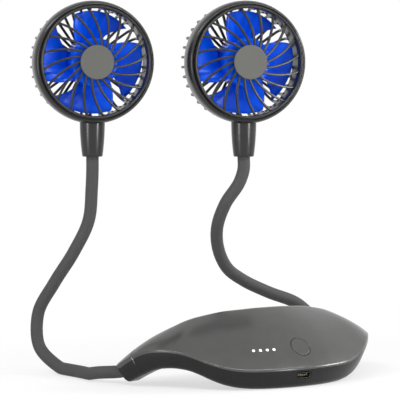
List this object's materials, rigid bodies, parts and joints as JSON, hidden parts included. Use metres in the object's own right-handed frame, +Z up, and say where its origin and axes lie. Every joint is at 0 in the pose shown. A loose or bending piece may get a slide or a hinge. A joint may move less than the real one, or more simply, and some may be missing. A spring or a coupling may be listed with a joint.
{
  "type": "electric neck fan",
  "caption": "Wearable neck fan: hollow neck band with flexible gooseneck arms that each carry a caged round fan head with spiral grille ribs and a blue impeller.",
  "frame": {"origin": "middle of the flat underside of the neck band at the nape, on the surface it stands on", "axes": "+Z up; +Y from the nape to the throat; +X to the arm that crosses in front; the two arms end in the same plane of heads"},
  "size_m": [0.2025, 0.145, 0.2205],
  "materials": {
    "cover_grey": "fine satin moulded plastic",
    "side_dark": "satin moulded plastic, darker",
    "head_dark": "satin moulded plastic",
    "sleeve_grey": "matte soft sleeve",
    "cap_grey": "plain matte disc",
    "fan_blue": "bright glossy",
    "steel": "plain",
    "motor_steel": "drawn can",
    "motor_white": "moulded",
    "board_green": "lacquered board",
    "black_plastic": "moulded",
    "lens_white": "frosted",
    "chip_yellow": "phosphor",
    "cell_wrap": "shrink wrap",
    "wire_black": "soft insulation"
  },
  "bodies": {
    "band": {"upper_cover": "cover_grey", "lower_cover": "side_dark", "left_ferrule": "side_dark", "right_ferrule": "side_dark", "cover_screws": "steel", "button_switch": "steel", "lamp_lenses": "lens_white", "lamp_chips": "chip_yellow", "lamp_board": "board_green", "main_board": "board_green", "usb_shell": "steel", "usb_tongue": "black_plastic", "charge_board": "board_green", "board_screws": "steel", "battery_cells": "cell_wrap", "left_sleeve_foot": "sleeve_grey", "left_core_foot": "steel", "right_sleeve_foot": "sleeve_grey", "right_core_foot": "steel"},
    "button": {"power_button": "cover_grey", "switch_plunger": "black_plastic"},
    "left_arm_swing": {"left_sleeve_swing": "sleeve_grey", "left_core_swing": "steel"},
    "left_arm_lean": {"left_sleeve_lean": "sleeve_grey", "left_core_lean": "steel"},
    "left_arm_tilt": {"left_sleeve_tilt": "sleeve_grey", "left_core_tilt": "steel"},
    "left_head": {"left_sleeve_turn": "sleeve_grey", "left_core_turn": "steel", "left_neck_socket": "head_dark", "left_rear_grille": "head_dark", "left_front_grille": "head_dark", "left_hub_cap": "cap_grey", "left_motor_can": "motor_steel", "left_motor_cap": "motor_white", "left_motor_lead": "wire_black"},
    "left_fan": {"left_motor_shaft": "steel", "left_impeller": "fan_blue"},
    "right_arm_swing": {"right_sleeve_swing": "sleeve_grey", "right_core_swing": "steel"},
    "right_arm_lean": {"right_sleeve_lean": "sleeve_grey", "right_core_lean": "steel"},
    "right_arm_tilt": {"right_sleeve_tilt": "sleeve_grey", "right_core_tilt": "steel"},
    "right_head": {"right_sleeve_turn": "sleeve_grey", "right_core_turn": "steel", "right_neck_socket": "head_dark", "right_rear_grille": "head_dark", "right_front_grille": "head_dark", "right_hub_cap": "cap_grey", "right_motor_can": "motor_steel", "right_motor_cap": "motor_white", "right_motor_lead": "wire_black"},
    "right_fan": {"right_motor_shaft": "steel", "right_impeller": "fan_blue"}
  },
  "joints": [
    {"name": "button_press", "type": "slide", "parent": "band", "child": "button", "axis": [-0.0313, 0.7176, -0.6957], "range_m": [0, 0.0004], "stiffness_N_per_m": 900, "springref_m": -0.0005},
    {"name": "left_swing", "type": "hinge", "parent": "band", "child": "left_arm_swing", "pos_m": [-0.09277, 0.10848, 0.00506], "axis": [0.848, -0.5299, 0], "range_deg": [-30, 30], "deforming": ["left_sleeve_swing", "left_core_swing"]},
    {"name": "left_lean", "type": "hinge", "parent": "left_arm_swing", "child": "left_arm_lean", "pos_m": [-0.09513, 0.1235, 0.04009], "axis": [-0.5299, -0.848, 0], "range_deg": [-1.5, 30], "deforming": ["left_sleeve_lean", "left_core_lean"]},
    {"name": "left_tilt", "type": "hinge", "parent": "left_arm_lean", "child": "left_arm_tilt", "pos_m": [-0.08148, 0.10292, 0.07682], "axis": [0.848, -0.5299, 0], "range_deg": [-40, 40], "deforming": ["left_sleeve_tilt", "left_core_tilt"]},
    {"name": "left_turn", "type": "hinge", "parent": "left_arm_tilt", "child": "left_head", "pos_m": [-0.07574, 0.09518, 0.112], "axis": [0, 0, 1], "range_deg": [-60, 60], "deforming": ["left_sleeve_turn", "left_core_turn"]},
    {"name": "left_fan_spin", "type": "hinge", "parent": "left_head", "child": "left_fan", "pos_m": [-0.07574, 0.09518, 0.1845], "axis": [-0.2756, -0.9613, 0], "continuous": true},
    {"name": "right_swing", "type": "hinge", "parent": "band", "child": "right_arm_swing", "pos_m": [0.06137, 0.07501, 0.03314], "axis": [0.848, -0.5299, 0], "range_deg": [-30, 30], "deforming": ["right_sleeve_swing", "right_core_swing"]},
    {"name": "right_lean", "type": "hinge", "parent": "right_arm_swing", "child": "right_arm_lean", "pos_m": [0.02066, 0.07316, 0.0506], "axis": [-0.5299, -0.848, 0], "range_deg": [-30, 1.5], "deforming": ["right_sleeve_lean", "right_core_lean"]},
    {"name": "right_tilt", "type": "hinge", "parent": "right_arm_lean", "child": "right_arm_tilt", "pos_m": [-0.009, 0.06375, 0.08008], "axis": [0.848, -0.5299, 0], "range_deg": [-40, 40], "deforming": ["right_sleeve_tilt", "right_core_tilt"]},
    {"name": "right_turn", "type": "hinge", "parent": "right_arm_tilt", "child": "right_head", "pos_m": [-0.00026, 0.04802, 0.112], "axis": [0, 0, 1], "range_deg": [-60, 60], "deforming": ["right_sleeve_turn", "right_core_turn"]},
    {"name": "right_fan_spin", "type": "hinge", "parent": "right_head", "child": "right_fan", "pos_m": [-0.00026, 0.04802, 0.1845], "axis": [-0.2756, -0.9613, 0], "continuous": true}
  ]
}
